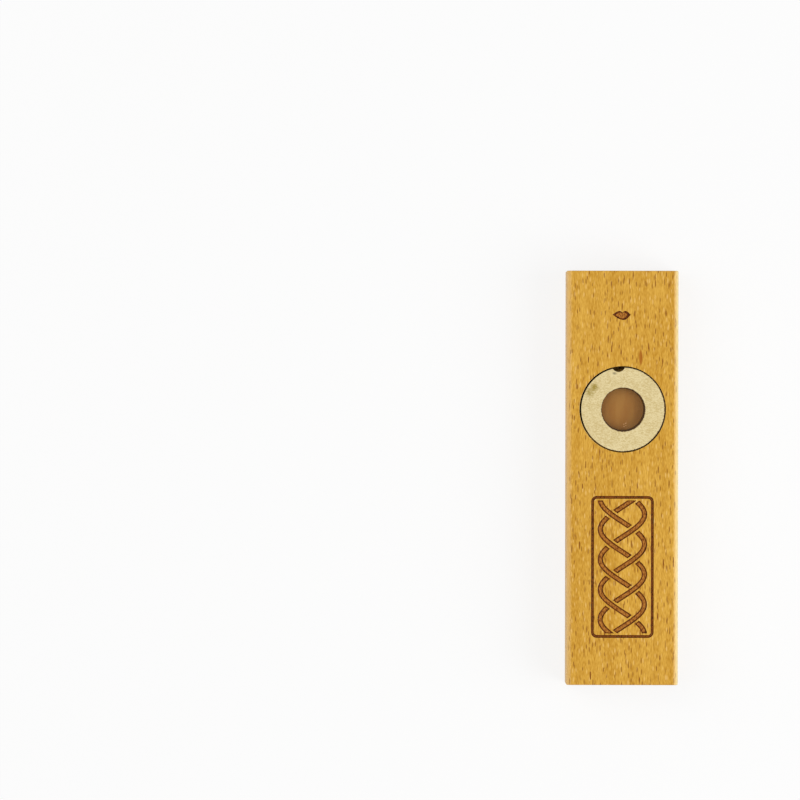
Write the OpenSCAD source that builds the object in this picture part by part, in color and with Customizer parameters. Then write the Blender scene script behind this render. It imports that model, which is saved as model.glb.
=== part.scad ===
// Wooden kazoo with a lift-out membrane, lying on its back, in millimetres.
// The long axis is Y with the mouth end at +Y. The underside lies on z = 0, under the origin.

/* [Body] */
// Length of the body from the mouth end to the tail end
body_l = 115; // [105:1:140]
// Width of the body
body_w = 31; // [28:0.5:40]
// Thickness of each of the two strips that are glued into the body
strip_t = 7.5; // [7.25:0.25:10]
// Rounding of the four long edges
edge_r = 1.5; // [0.5:0.25:3]
// Chamfer round each end face
end_break = 0.2; // [0.1:0.1:0.8]

/* [Air channel] */
// Width of the air channel
channel_w = 16; // [14:0.5:20]
// Depth of the groove that makes half of the channel, in each strip
groove_d = 2.75; // [2:0.25:2.75]
// Rounding in the bottom corners of the groove
groove_r = 1.5; // [0.5:0.25:1.75]

/* [Membrane] */
// Distance from the mouth end to the middle of the membrane
membrane_from_mouth = 38.5; // [30:0.5:42]
// Diameter of the opening between the channel and the membrane
chamber_d = 13.5; // [12:0.25:13.75]
// Outer diameter of the frame that stretches the film
frame_d = 20.6; // [20.2:0.1:21.4]
// Width of the frame's rim
frame_rim = 2.1; // [1:0.1:3]
// Thickness of the frame
frame_t = 0.5; // [0.3:0.1:0.8]
// Thickness of the film
film_t = 0.1; // [0.05:0.05:0.2]
// Distance that the film's edge stays inside the frame's edge
film_inset = 0.2; // [0.1:0.1:0.5]
// Gap round the frame in its recess
frame_gap = 0.2; // [0.1:0.05:0.3]

/* [Retaining ring] */
// Outer diameter of the ring
ring_d = 23.3; // [22.8:0.1:25]
// Diameter of the ring's window
ring_hole_d = 12; // [10:0.1:12.5]
// Thickness of the ring
ring_t = 2.5; // [2:0.1:2.8]
// Gap round the ring in its pocket
ring_gap = 0.3; // [0.2:0.05:0.5]
// Depth of the ring's top face below the body's
ring_sink = 0.1; // [0:0.05:0.3]
// How far the loose ring has slid to the right, as a share of its gap
ring_slide_share = 0.4; // [0:0.1:0.8]
// Width of the notch that a fingernail goes into
notch_w = 3.3; // [2:0.1:5]
// Depth of that notch from the ring's edge
notch_d = 1.1; // [0.6:0.1:1.6]
// Turn of the notch away from the mouth end, in degrees
notch_turn = 6; // [0:1:359]

/* [Magnets] */
// Number of magnets in the ring, and under it in the body
magnet_count = 3; // [2:1:4]
// Diameter of a magnet
magnet_d = 3; // [2:0.25:3]
// Thickness of a magnet
magnet_t = 1; // [0.75:0.25:1]
// Gap for glue round a magnet
magnet_gap = 0.05; // [0.05:0.01:0.1]
// Depth of a magnet's face below the wood's
magnet_sink = 0.05; // [0:0.01:0.1]
// Turn of the first magnet from the right-hand side, in degrees
magnet_turn = 30; // [0:5:90]

/* [Burnt marks] */
// Depth of the burnt marks
burn_d = 0.3; // [0.1:0.05:0.5]
// Distance from the mouth end to the mark that shows which end is the mouthpiece
lips_from_mouth = 12.2; // [8:0.1:20]
// Distance of that mark to the left of the body's middle
lips_shift = 0.35; // [0:0.05:2]
// Width of that mark
lips_w = 5.1; // [3:0.1:10]
// Height of its upper part
upper_lip_h = 1.05; // [0.6:0.05:3]
// Depth of the dip between the upper part's two peaks
lips_dip = 0.4; // [0.1:0.05:0.5]
// Height of its lower part
lower_lip_h = 1.5; // [0.6:0.05:3]
// Distance from the mouth end to the middle of the plaited panel
panel_from_mouth = 82.2; // [78:0.2:90]
// Length of the panel
panel_l = 39.4; // [20:0.2:44]
// Width of the panel
panel_w = 17.4; // [14:0.2:24]
// Width of the rule round the panel
rule_w = 0.8; // [0.4:0.1:1.6]
// Corner radius of the rule, on its outer side
rule_r = 1.6; // [1.6:0.2:4]
// Clear wood between the side rules and the plait
plait_margin = 1; // [0.4:0.1:2]
// Width of a strand of the plait
strand_w = 1.5; // [0.8:0.1:1.8]
// Clear wood between strands where they cross, and between the plait and the end rules
strand_gap = 0.45; // [0.3:0.05:0.8]
// Length along the panel in which a strand swings over and back once
plait_pitch = 25; // [16:0.5:40]

/* [Hidden] */
body_t = 2 * strip_t;
// Overrun of the cuts
over = 1;
$fn = 96;

mouth_y = body_l / 2;
membrane_y = mouth_y - membrane_from_mouth;
lips_y = mouth_y - lips_from_mouth;
panel_y = mouth_y - panel_from_mouth;

pocket_r = ring_d / 2 + ring_gap;
pocket_z = body_t - ring_sink - ring_t;
recess_r = frame_d / 2 + frame_gap;
recess_z = pocket_z - frame_t - film_t;
ring_x = ring_slide_share * ring_gap;
magnet_hole_r = magnet_d / 2 + magnet_gap;
magnet_hole_d = magnet_t + magnet_sink;
// The magnets lie in the middle of the land between the chamber and the frame's edge
magnet_circle_r = (chamber_d + frame_d) / 4;

plait_l = panel_l - 2 * (rule_w + strand_gap);
plait_swing = panel_w / 2 - rule_w - plait_margin - strand_w / 2;
strand_count = 3;
// Straight pieces in half a wave of a strand
strand_steps = 14;
// Straight pieces in each of the six curves round the pair of lips
lips_steps = 6;
// Turns of a strand's wave, in degrees
half_turn = 180;
quarter_turn = 90;
strand_lag = 360 / strand_count;
first_under_turn = 150;
crossing_reach = 45;

// Flat shapes

module rounded_rectangle(w, h, r) {
    square([w - 2 * r, h], center = true);
    square([w, h - 2 * r], center = true);
    for (x = [-1, 1], y = [-1, 1])
        translate([x * (w / 2 - r), y * (h / 2 - r)]) circle(r);
}

module chamfered_rectangle(w, h, c) {
    polygon([
        [-w / 2 + c, -h / 2], [w / 2 - c, -h / 2], [w / 2, -h / 2 + c], [w / 2, h / 2 - c],
        [w / 2 - c, h / 2], [-w / 2 + c, h / 2], [-w / 2, h / 2 - c], [-w / 2, -h / 2 + c]
    ]);
}

// Blank of the body, before any groove or pocket

module along_y(length) {
    rotate([90, 0, 0]) linear_extrude(length, center = true) children();
}

module body_blank() {
    intersection() {
        translate([0, 0, body_t / 2]) along_y(body_l) rounded_rectangle(body_w, body_t, edge_r);
        linear_extrude(body_t) chamfered_rectangle(body_w, body_l, end_break);
        translate([0, 0, body_t / 2]) rotate([0, 90, 0]) linear_extrude(body_w, center = true)
            chamfered_rectangle(body_t, body_l, end_break);
    }
}

// One of the two strips: the blank below or above the glue line
module strip(from_z) {
    intersection() {
        body_blank();
        translate([-body_w / 2, -body_l / 2, from_z]) cube([body_w, body_l, strip_t]);
    }
}

module air_channel() {
    translate([0, 0, strip_t]) along_y(body_l + 2 * over)
        rounded_rectangle(channel_w, 2 * groove_d, groove_r);
}

// Places the children at one magnet's place on the magnet circle
module at_magnet(i) {
    turn = magnet_turn + i * 360 / magnet_count;
    translate([magnet_circle_r * cos(turn), membrane_y + magnet_circle_r * sin(turn), 0]) children();
}

// Burnt marks, as flat shapes about their own middle

function between(from, to, share) = from + (to - from) * share;
// Runs from 0 to 1 as share does, level at both ends
function ease(share) = (1 - cos(half_turn * share)) / 2;

// A pair of lips, turned a little, so that its peaks and its lowest point lie to the right of the middle
module lips_mark() {
    left_peak_share = -0.09;
    dip_share = 0.05;
    right_peak_share = 0.19;
    lowest_share = 0.12;
    left = -lips_w / 2;
    right = lips_w / 2;
    left_peak = left_peak_share * lips_w;
    dip = dip_share * lips_w;
    right_peak = right_peak_share * lips_w;
    lowest = lowest_share * lips_w;
    steps = [for (n = [0 : lips_steps - 1]) n / lips_steps];
    polygon(concat(
        [for (s = steps) [between(left, left_peak, s), upper_lip_h * sin(quarter_turn * s)]],
        [for (s = steps) [between(left_peak, dip, s), upper_lip_h - lips_dip * ease(s)]],
        [for (s = steps) [between(dip, right_peak, s), upper_lip_h - lips_dip * (1 - ease(s))]],
        [for (s = steps) [between(right_peak, right, s), upper_lip_h * cos(quarter_turn * s)]],
        [for (s = steps) [between(right, lowest, s), -lower_lip_h * sin(quarter_turn * s)]],
        [for (s = steps) [between(lowest, left, s), -lower_lip_h * cos(quarter_turn * s)]]
    ));
}

// The plait's strands swing as sine waves, a third of a turn apart
function strand_x(turn) = plait_swing * sin(turn);
function strand_y(turn, strand) = plait_pitch * (turn / 360 - strand / strand_count);
function strand_slope(turn) = plait_swing * cos(turn) * 2 * PI / plait_pitch;
function strand_edge(turn, strand, side) =
    let (lean = sqrt(1 + strand_slope(turn) * strand_slope(turn)))
    [strand_x(turn) + side / lean, strand_y(turn, strand) - side * strand_slope(turn) / lean];

// A stretch of one strand between two turns of its wave
module strand_stretch(strand, from_turn, to_turn, w) {
    step = (to_turn - from_turn) / strand_steps;
    turns = [for (n = [0 : strand_steps]) from_turn + n * step];
    back = [for (n = [0 : strand_steps]) to_turn - n * step];
    polygon(concat(
        [for (t = turns) strand_edge(t, strand, w / 2)],
        [for (t = back) strand_edge(t, strand, -w / 2)]
    ));
}

// A strand goes under its neighbour at 150 and 330 degrees of its own wave, where the neighbour is
// a third of a turn behind. So it shows in half waves, each cut back at both ends by that neighbour.
module strand_half_wave(strand, under_turn) {
    difference() {
        strand_stretch(strand, under_turn, under_turn + half_turn, strand_w);
        for (end_turn = [0, half_turn])
            strand_stretch(
                strand - 1, under_turn + end_turn - strand_lag - crossing_reach,
                under_turn + end_turn - strand_lag + crossing_reach, strand_w + 2 * strand_gap
            );
    }
}

module plait() {
    waves = ceil(plait_l / plait_pitch) + 1;
    intersection() {
        square([panel_w, plait_l], center = true);
        for (strand = [0 : strand_count - 1], n = [-waves : waves])
            strand_half_wave(strand, first_under_turn + n * half_turn);
    }
}

module panel_rule() {
    difference() {
        rounded_rectangle(panel_w, panel_l, rule_r);
        rounded_rectangle(panel_w - 2 * rule_w, panel_l - 2 * rule_w, rule_r - rule_w);
    }
}

module burnt(y) {
    translate([0, y, body_t - burn_d]) linear_extrude(burn_d + over) children();
}

// Sub-parts

module body_base() {
    color("#d2a14a") difference() {
        strip(0);
        air_channel();
    }
}

module body_top() {
    color("#d8aa52") difference() {
        strip(strip_t);
        air_channel();
        translate([0, membrane_y, pocket_z]) cylinder(h = ring_t + ring_sink + over, r = pocket_r);
        translate([0, membrane_y, recess_z]) cylinder(h = frame_t + film_t + over, r = recess_r);
        translate([0, membrane_y, strip_t - over]) cylinder(h = strip_t, d = chamber_d);
        for (i = [1 : magnet_count])
            at_magnet(i) translate([0, 0, recess_z - magnet_hole_d])
                cylinder(h = magnet_hole_d + over, r = magnet_hole_r);
        burnt(lips_y) translate([-lips_shift, 0]) lips_mark();
        burnt(panel_y) plait();
        burnt(panel_y) panel_rule();
    }
}

module membrane_film() {
    color("#a97c4c") translate([0, membrane_y, recess_z])
        cylinder(h = film_t, r = frame_d / 2 - film_inset);
}

module membrane_frame() {
    color("#efe3c2") translate([0, membrane_y, recess_z + film_t]) difference() {
        cylinder(h = frame_t, d = frame_d);
        translate([0, 0, -over]) cylinder(h = frame_t + 2 * over, r = frame_d / 2 - frame_rim);
    }
}

module retaining_ring() {
    notch_r = (notch_w * notch_w / 4 + notch_d * notch_d) / (2 * notch_d);
    color("#e0cd9a") difference() {
        translate([ring_x, membrane_y, pocket_z]) difference() {
            cylinder(h = ring_t, d = ring_d);
            translate([0, 0, -over]) cylinder(h = ring_t + 2 * over, d = ring_hole_d);
            rotate([0, 0, notch_turn]) translate([0, ring_d / 2 - notch_d + notch_r, -over])
                cylinder(h = ring_t + 2 * over, r = notch_r);
        }
        for (i = [1 : magnet_count])
            at_magnet(i) translate([ring_x, 0, pocket_z - over])
                cylinder(h = magnet_hole_d + over, r = magnet_hole_r);
    }
}

module magnet() {
    color("#c9c9cc") cylinder(h = magnet_t, d = magnet_d);
}

module seat_magnet(i) {
    at_magnet(i) translate([0, 0, recess_z - magnet_hole_d]) magnet();
}

module ring_magnet(i) {
    at_magnet(i) translate([ring_x, 0, pocket_z + magnet_sink]) magnet();
}

body_base();
body_top();
membrane_film();
membrane_frame();
retaining_ring();
for (i = [1 : magnet_count]) {
    seat_magnet(i);
    ring_magnet(i);
}
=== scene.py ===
import math

import bmesh
import bpy
from mathutils import Matrix, Vector


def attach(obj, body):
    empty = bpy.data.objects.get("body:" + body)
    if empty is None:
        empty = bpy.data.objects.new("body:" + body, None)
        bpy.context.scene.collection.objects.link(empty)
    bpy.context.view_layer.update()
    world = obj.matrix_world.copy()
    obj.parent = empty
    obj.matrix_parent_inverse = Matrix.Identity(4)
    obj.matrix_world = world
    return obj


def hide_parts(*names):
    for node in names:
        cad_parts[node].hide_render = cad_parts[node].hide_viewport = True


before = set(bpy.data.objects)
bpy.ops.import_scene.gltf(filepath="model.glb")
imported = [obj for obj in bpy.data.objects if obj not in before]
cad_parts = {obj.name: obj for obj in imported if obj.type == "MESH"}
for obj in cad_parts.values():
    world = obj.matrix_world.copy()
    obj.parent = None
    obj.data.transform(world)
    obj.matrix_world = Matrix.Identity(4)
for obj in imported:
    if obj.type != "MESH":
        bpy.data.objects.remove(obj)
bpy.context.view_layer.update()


# Lower strip of the body. Beech, moulded to a bar with rounded long edges, with half of the air channel
# grooved into it. It is glued under the upper strip, and the pair is cut to length and sanded together.

body_length = 115.0
body_width = 31.0
strip_thickness = 7.5
long_edge_radius = 1.5
end_edge_radius = 0.2
channel_width = 16.0
channel_height = 5.5
channel_corner_radius = 1.5
channel_rim_radius = 0.5
glue_line = 0.14
growth_ring = 2.4
beech_light = "#E9B64B"
beech_dark = "#C38A1E"
beech_ray = "#844400"
beech_pale = "#F3C571"
# The edge tint is partly burnish and partly painted highlight; the near white one is painted highlight on the
# right
beech_burnish_and_painted_highlight = "#FBCC7E"
beech_painted_right_highlight = "#FFF1B4"
beech_end_grain = "#B98A45"
glue_brown = "#8A5A22"


def linear(code):
    """The linear colour of an sRGB hex value."""
    parts = [int(code[i:i + 2], 16) / 255 for i in (1, 3, 5)]
    return [p / 12.92 if p <= 0.04045 else ((p + 0.055) / 1.055) ** 2.4 for p in parts] + [1.0]


def add(tree, kind, values=None, out=0, **settings):
    """Adds a node to a material and gives one of its outputs. kind is its type without ShaderNode, and values
    gives each socket a plain value or another node's output."""
    made = tree.nodes.new("ShaderNode" + kind)
    for setting, value in settings.items():
        setattr(made, setting, value)
    for socket, value in (values or {}).items():
        if isinstance(value, bpy.types.NodeSocket):
            tree.links.new(value, made.inputs[socket])
        else:
            made.inputs[socket].default_value = value
    return made.outputs[out]


def new_material(name):
    """An empty material, its node tree and the place on the piece in millimetres."""
    material = bpy.data.materials.new(name)
    material.use_nodes = True
    tree = material.node_tree
    tree.nodes.clear()
    place = add(tree, "TexCoord", out=3)
    return material, tree, add(tree, "VectorMath", {0: place, 3: 1000.0}, operation="SCALE")


def surface(tree, finish):
    """Gives the material its finish."""
    tree.links.new(finish, tree.nodes.new("ShaderNodeOutputMaterial").inputs["Surface"])


def skin(loops, ring=False):
    """Points and faces of the skin over a row of closed loops, closed by end faces or into a ring."""
    count = len(loops[0])
    points = [p for loop in loops for p in loop]
    faces = []
    for row in range(len(loops) if ring else len(loops) - 1):
        here = row * count
        there = (row + 1) % len(loops) * count
        for i in range(count):
            j = (i + 1) % count
            faces.append((here + i, here + j, there + j, there + i))
    if not ring:
        faces.append(tuple(range(count - 1, -1, -1)))
        faces.append(tuple(range(len(points) - count, len(points))))
    return points, faces


def solid(name, points, faces):
    """A closed mesh in millimetres, with its faces turned outward."""
    mesh = bpy.data.meshes.new(name)
    mesh.from_pydata(points, [], faces)
    work = bmesh.new()
    work.from_mesh(mesh)
    bmesh.ops.recalc_face_normals(work, faces=work.faces)
    work.to_mesh(mesh)
    work.free()
    piece = bpy.data.objects.new(name, mesh)
    bpy.context.scene.collection.objects.link(piece)
    return piece


def cut(piece, cutter):
    """Cuts the shape of cutter out of piece."""
    knife = piece.modifiers.new("cut", "BOOLEAN")
    knife.operation = "DIFFERENCE"
    knife.solver = "EXACT"
    knife.object = cutter
    graph = bpy.context.evaluated_depsgraph_get()
    left = bpy.data.meshes.new_from_object(piece.evaluated_get(graph))
    piece.modifiers.remove(knife)
    whole = piece.data
    piece.data = left
    bpy.data.meshes.remove(whole)
    bpy.data.meshes.remove(cutter.data)


def dress(piece, material, body, node):
    """Scales a piece to metres, evens out its shading and puts it in the place of its CAD node."""
    piece.data.transform(Matrix.Scale(0.001, 4))
    piece.data.materials.clear()
    piece.data.materials.append(material)
    for face in piece.data.polygons:
        face.use_smooth = True
    piece.data.set_sharp_from_angle(angle=math.radians(30))
    even = piece.modifiers.new("even_shading", "WEIGHTED_NORMAL")
    even.keep_sharp = True
    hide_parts(node)
    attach(piece, body)


def strip_blank(name, face_side):
    """One strip before it is grooved. face_side is 1 for the upper strip and -1 for the lower one."""
    loops = []
    side = body_width / 2 - long_edge_radius
    crown = strip_thickness - long_edge_radius
    arc = [math.pi / 2 * n / 8 for n in range(9)]
    steps = 5
    ends = [(-1, math.pi / 2 * (1 - n / steps)) for n in range(steps + 1)]
    ends += [(1, math.pi / 2 * n / steps) for n in range(steps + 1)]
    for end, turn in ends:
        y = end * (body_length / 2 - end_edge_radius + end_edge_radius * math.sin(turn))
        inset = end_edge_radius * (1 - math.cos(turn))
        r = long_edge_radius - inset
        outline = [(side + r * math.cos(a), crown + r * math.sin(a)) for a in arc]
        outline = [(body_width / 2 - inset, 0.0)] + outline
        outline += [(-x, out) for x, out in reversed(outline)]
        loops.append([(x, y, strip_thickness + face_side * out) for x, out in outline])
    return solid(name, *skin(loops))


def rounded_box(half_width, half_height, radius, steps):
    """Outline of a rectangle with rounded corners. Its half sizes reach to the middles of the corners."""
    outline = []
    for n in range(4 * steps):
        quarter = n // steps
        turn = math.pi / 2 * (quarter + n % steps / (steps - 1))
        side_x = 1 if quarter in (0, 3) else -1
        side_y = 1 if quarter in (0, 1) else -1
        outline.append((side_x * half_width + radius * math.cos(turn),
                        side_y * half_height + radius * math.sin(turn)))
    return outline


def channel_cutter():
    """The air channel, flared a little at both ends where its rim is sanded round."""
    half_width = channel_width / 2 - channel_corner_radius
    half_height = channel_height / 2 - channel_corner_radius
    past_end = 1.0
    steps = 5
    stations = []
    for n in range(steps + 1):
        turn = math.pi / 2 * n / steps
        stations.append((body_length / 2 - channel_rim_radius * (1 - math.sin(turn)),
                         channel_rim_radius * (1 - math.cos(turn))))
    stations += [(body_length / 2 + past_end, channel_rim_radius)]
    stations = [(-y, grow) for y, grow in reversed(stations)] + stations
    loops = []
    for y, grow in stations:
        outline = rounded_box(half_width, half_height, channel_corner_radius + grow, 8)
        loops.append([(x, y, strip_thickness + z) for x, z in outline])
    return solid("channel_cutter", *skin(loops))


# Flat-sawn beech, sanded and oiled. To the eye: an even honey ground with fine fibres along the bar, broken
# by short dark spindles where the rays come to the surface, and by their long lines on the cut ends.
def beech(name, pith, offset):
    """pith is where the middle of the tree lies, and offset the part of the plank that a strip comes from."""
    material, tree, place = new_material(name)
    plank = add(tree, "VectorMath", {0: place, 1: offset}, operation="ADD")

    # The fibres wander by about a millimetre over 40 mm of length
    bend = add(tree, "Mapping", {"Vector": plank, "Scale": (1 / 30, 1 / 45, 1 / 30)})
    bend = add(tree, "TexNoise", {"Vector": bend, "Scale": 1.0, "Detail": 1.0}, out=1)
    bend = add(tree, "VectorMath", {0: bend, 1: (0.5, 0.5, 0.5)}, operation="SUBTRACT")
    bend = add(tree, "VectorMath", {0: bend, 1: (3.0, 0.0, 3.0)}, operation="MULTIPLY")
    grain = add(tree, "VectorMath", {0: plank, 1: bend}, operation="ADD")

    # Fibres in bundles 0.2 mm wide and 1.3 mm long, twice as coarse as they are so that they show
    fibre = add(tree, "Mapping", {"Vector": grain, "Scale": (1 / 0.22, 1 / 1.3, 1 / 0.22)})
    fibre = add(tree, "TexNoise", {"Vector": fibre, "Scale": 1.0, "Detail": 1.0, "Roughness": 0.4})

    # How much of a face is cut along the rays, as the sides of the bar are, or across the fibres, as its
    # ends are
    normal = add(tree, "TexCoord", out=1)
    normal = add(tree, "SeparateXYZ", {0: normal})
    lean = add(tree, "Math", {0: normal}, operation="ABSOLUTE")
    facing = add(tree, "Math", {0: normal.node.outputs["Y"]}, operation="ABSOLUTE")
    end_grain = add(tree, "MapRange", {0: facing, 1: 0.45, 2: 0.9}, interpolation_type="SMOOTHSTEP")
    edgewise = add(tree, "MapRange", {0: lean, 1: 0.5, 2: 0.95, 3: 1.0, 4: 0.3})

    # Large rays: lenses 0.35 mm thick and 2 mm high that run in from the face. On the sides they show
    # broadside, as faint ragged flakes.
    ragged = add(tree, "MapRange", {0: fibre, 1: 0.3, 2: 0.7, 3: -0.07, 4: 0.07})
    rays = add(tree, "Mapping", {"Vector": grain, "Scale": (1 / 0.95, 1 / 6.0, 1 / 12)})
    rays = add(tree, "TexVoronoi", {"Vector": rays, "Scale": 1.0, "Randomness": 1.0})
    strength = add(tree, "SeparateColor", {0: rays.node.outputs["Color"]})
    strength = add(tree, "MapRange", {0: strength, 3: 0.2, 4: 1.0})
    strength = add(tree, "Math", {0: strength, 1: edgewise}, operation="MULTIPLY")
    rays = add(tree, "Math", {0: rays, 1: ragged}, operation="ADD")
    rays = add(tree, "MapRange", {0: rays, 1: 0.22, 2: 0.13}, interpolation_type="SMOOTHSTEP")
    rays = add(tree, "Math", {0: rays, 1: strength}, operation="MULTIPLY")

    # Small rays between them, 0.3 mm thick and 1.4 mm high, paler
    thin = add(tree, "Mapping", {"Vector": grain, "Scale": (1 / 0.75, 1 / 3.6, 1 / 5)})
    thin = add(tree, "TexVoronoi", {"Vector": thin, "Scale": 1.0, "Randomness": 1.0})
    thin = add(tree, "Math", {0: thin, 1: ragged}, operation="ADD")
    thin = add(tree, "MapRange", {0: thin, 1: 0.27, 2: 0.14, 4: 0.7}, interpolation_type="SMOOTHSTEP")
    thin = add(tree, "Math", {0: thin, 1: edgewise}, operation="MULTIPLY")

    # Paler flecks of clear wood, 0.3 mm wide and 1.3 mm long, faint on the cut ends
    clear = add(tree, "Mapping", {"Vector": grain, "Scale": (1 / 0.8, 1 / 3.2, 1 / 6)})
    clear = add(tree, "TexVoronoi", {"Vector": clear, "Scale": 1.0, "Randomness": 1.0})
    clear = add(tree, "Math", {0: clear, 1: ragged}, operation="SUBTRACT")
    clear = add(tree, "MapRange", {0: clear, 1: 0.3, 2: 0.1, 4: 0.75}, interpolation_type="SMOOTHSTEP")
    clear = add(tree, "Math", {0: clear, 1: edgewise}, operation="MULTIPLY")
    faces = add(tree, "MapRange", {0: end_grain, 3: 1.0, 4: 0.2})
    clear = add(tree, "Math", {0: clear, 1: faces}, operation="MULTIPLY")

    # Broader bundles among the fibres, 0.5 mm wide and 6 mm long
    bundle = add(tree, "Mapping", {"Vector": grain, "Scale": (1 / 0.5, 1 / 6.0, 1 / 0.5)})
    bundle = add(tree, "TexNoise", {"Vector": bundle, "Scale": 1.0, "Detail": 1.0})
    fibre = add(tree, "MapRange", {0: fibre, 1: 0.3, 2: 0.7, 3: 0.03, 4: 0.82})
    bundle = add(tree, "MapRange", {0: bundle, 1: 0.3, 2: 0.7, 3: -0.05, 4: 0.2})
    fibre = add(tree, "Math", {0: fibre, 1: bundle}, operation="ADD")

    # Streaks of colour along the plank, 4 mm wide and 60 mm long
    streak = add(tree, "Mapping", {"Vector": grain, "Scale": (1 / 4, 1 / 60, 1 / 4)})
    streak = add(tree, "TexNoise", {"Vector": streak, "Scale": 1.0, "Detail": 3.0})

    # Growth rings round the pith, each darkening to its late wood
    axis = add(tree, "VectorMath", {0: grain, 1: pith}, operation="SUBTRACT")
    axis = add(tree, "VectorMath", {0: axis, 1: (1.0, 0.0, 1.0)}, operation="MULTIPLY")
    radius = add(tree, "VectorMath", {0: axis}, out=1, operation="LENGTH")
    year = add(tree, "Math", {0: radius, 1: growth_ring}, operation="DIVIDE")
    year = add(tree, "Math", {0: year}, operation="FRACT")
    late = add(tree, "MapRange", {0: year, 1: 0.55, 2: 0.95}, interpolation_type="SMOOTHSTEP")
    early = add(tree, "MapRange", {0: year, 1: 0.0, 2: 0.05, 3: 1.0, 4: 0.0})
    late = add(tree, "Math", {0: late, 1: early}, operation="MAXIMUM")

    # Pores, 0.1 mm across: dots on the cut ends, hair lines on the faces
    pores = add(tree, "Mapping", {"Vector": grain, "Scale": (1 / 0.16, 1 / 1.4, 1 / 0.16)})
    pores = add(tree, "TexNoise", {"Vector": pores, "Scale": 1.0, "Detail": 1.0})
    pores = add(tree, "MapRange", {0: pores, 1: 0.58, 2: 0.72})

    slow = add(tree, "MapRange", {0: streak, 1: 0.3, 2: 0.7, 3: -0.24, 4: 0.18})
    tone = add(tree, "Math", {0: fibre, 1: slow}, operation="ADD")
    ring_share = add(tree, "MapRange", {0: end_grain, 3: 0.14, 4: 0.5})
    tone = add(tree, "Math", {0: late, 1: ring_share, 2: tone}, operation="MULTIPLY_ADD")
    ends = add(tree, "Math", {0: end_grain, 1: 0.6}, operation="MULTIPLY")
    pore_share = add(tree, "MapRange", {0: end_grain, 3: 0.12, 4: 0.45})
    dots = add(tree, "Math", {0: pores, 1: pore_share}, operation="MULTIPLY")

    # The glue line halfway up the bar
    height = add(tree, "SeparateXYZ", {0: place}, out=2)
    seam = add(tree, "Math", {0: height, 1: strip_thickness, 2: glue_line / 2}, operation="COMPARE")
    seam = add(tree, "Math", {0: seam, 1: 0.55}, operation="MULTIPLY")

    colour = add(tree, "Mix", {0: tone, 6: linear(beech_light), 7: linear(beech_dark)}, out=2,
                 data_type="RGBA")
    for share, tint in ((ends, beech_end_grain), (clear, beech_pale), (thin, beech_ray), (rays, beech_ray),
                        (dots, beech_ray), (seam, glue_brown)):
        colour = add(tree, "Mix", {0: share, 6: colour, 7: linear(tint)}, out=2, data_type="RGBA")

    # The rounded long edges, sanded across the fibres and burnished: paler and a little glossier, and painted
    # lighter still as a highlight, near white on the right ones where the lamp falls
    burnish_and_painted_highlight = add(tree, "MapRange", {0: lean, 1: 0.02, 2: 0.72})
    flank = add(tree, "MapRange", {0: lean, 1: 0.9, 2: 1.0, 3: 1.0, 4: 0.3})
    uneven = add(tree, "MapRange", {0: fibre, 3: 1.0, 4: 0.7})
    flecks = add(tree, "Math", {0: rays, 1: thin}, operation="MAXIMUM")
    flecks = add(tree, "MapRange", {0: flecks, 3: 1.0, 4: 0.4})
    for share in (flank, uneven, flecks):
        burnish_and_painted_highlight = add(tree, "Math", {0: burnish_and_painted_highlight, 1: share}, operation="MULTIPLY")
    # Painted highlight: the right edges, turned to the lamp, go toward near white
    right_highlight_share = add(tree, "MapRange", {0: normal, 1: 0.0, 2: 0.8, 4: 0.8})
    edge = add(tree, "Mix", {0: right_highlight_share, 6: linear(beech_burnish_and_painted_highlight), 7: linear(beech_painted_right_highlight)}, out=2,
               data_type="RGBA")
    colour = add(tree, "Mix", {0: burnish_and_painted_highlight, 6: colour, 7: edge}, out=2, data_type="RGBA")

    relief = add(tree, "Math", {0: pores, 1: -0.8, 2: fibre}, operation="MULTIPLY_ADD")
    gloss = add(tree, "MapRange", {0: fibre, 3: 0.42, 4: 0.54})
    gloss = add(tree, "Math", {0: burnish_and_painted_highlight, 1: -0.25, 2: gloss}, operation="MULTIPLY_ADD")
    return {"material": material, "tree": tree, "place": place, "colour": colour, "relief": relief,
            "gloss": gloss}


def oiled(wood):
    """Closes a beech material with its oiled, finely sanded finish."""
    tree = wood["tree"]
    bump = add(tree, "Bump", {"Height": wood["relief"], "Strength": 0.5, "Distance": 0.000015})
    finish = add(tree, "BsdfPrincipled", {
        "Base Color": wood["colour"], "Roughness": wood["gloss"], "IOR": 1.4, "Specular IOR Level": 0.3,
        "Normal": bump})
    surface(tree, finish)
    return wood["material"]


lower_strip = strip_blank("lower_strip", -1)
cut(lower_strip, channel_cutter())
lower_beech = oiled(beech("oiled_beech_lower", (12.0, 0.0, 66.0), (140.0, 310.0, 20.0)))
dress(lower_strip, lower_beech, "kazoo_body", "body_base")


# Upper strip of the body. The same beech, with the round seat of the membrane routed into it: a pocket for
# the ring, a recess for the membrane's frame and a chamber into the channel. The marks are burnt by laser.

seat_y = 19.0
pocket_radius = 11.95
pocket_floor = 12.4
recess_radius = 10.5
recess_floor = 11.8
chamber_radius = 6.75
top_face = 15.0
magnet_circle = 8.525
magnet_turns = (30, 150, 270)
magnet_hole_radius = 1.55
magnet_hole_depth = 1.05
lips_y = 45.3
lips_shift = 0.35
lips_width = 5.1
upper_lip = 1.05
lips_dip = 0.4
lower_lip = 1.5
panel_y = -24.7
panel_length = 39.4
panel_width = 17.4
rule_width = 0.8
rule_radius = 1.6
strand_width = 1.5
strand_gap = 0.45
plait_swing = 6.15
plait_pitch = 25.0
# Distance from the edge of a burnt mark, and depth there
burn_section = ((0.0, -0.02), (0.05, 0.15), (0.2, 0.24), (0.45, 0.3))
cutter_reach = 0.6
streak_place = (5.0, 33.4, top_face)
char_edge = "#6E3200"
char_black = "#2E0C00"
char_floor = "#7E4208"
char_pale = "#C07E32"
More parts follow.
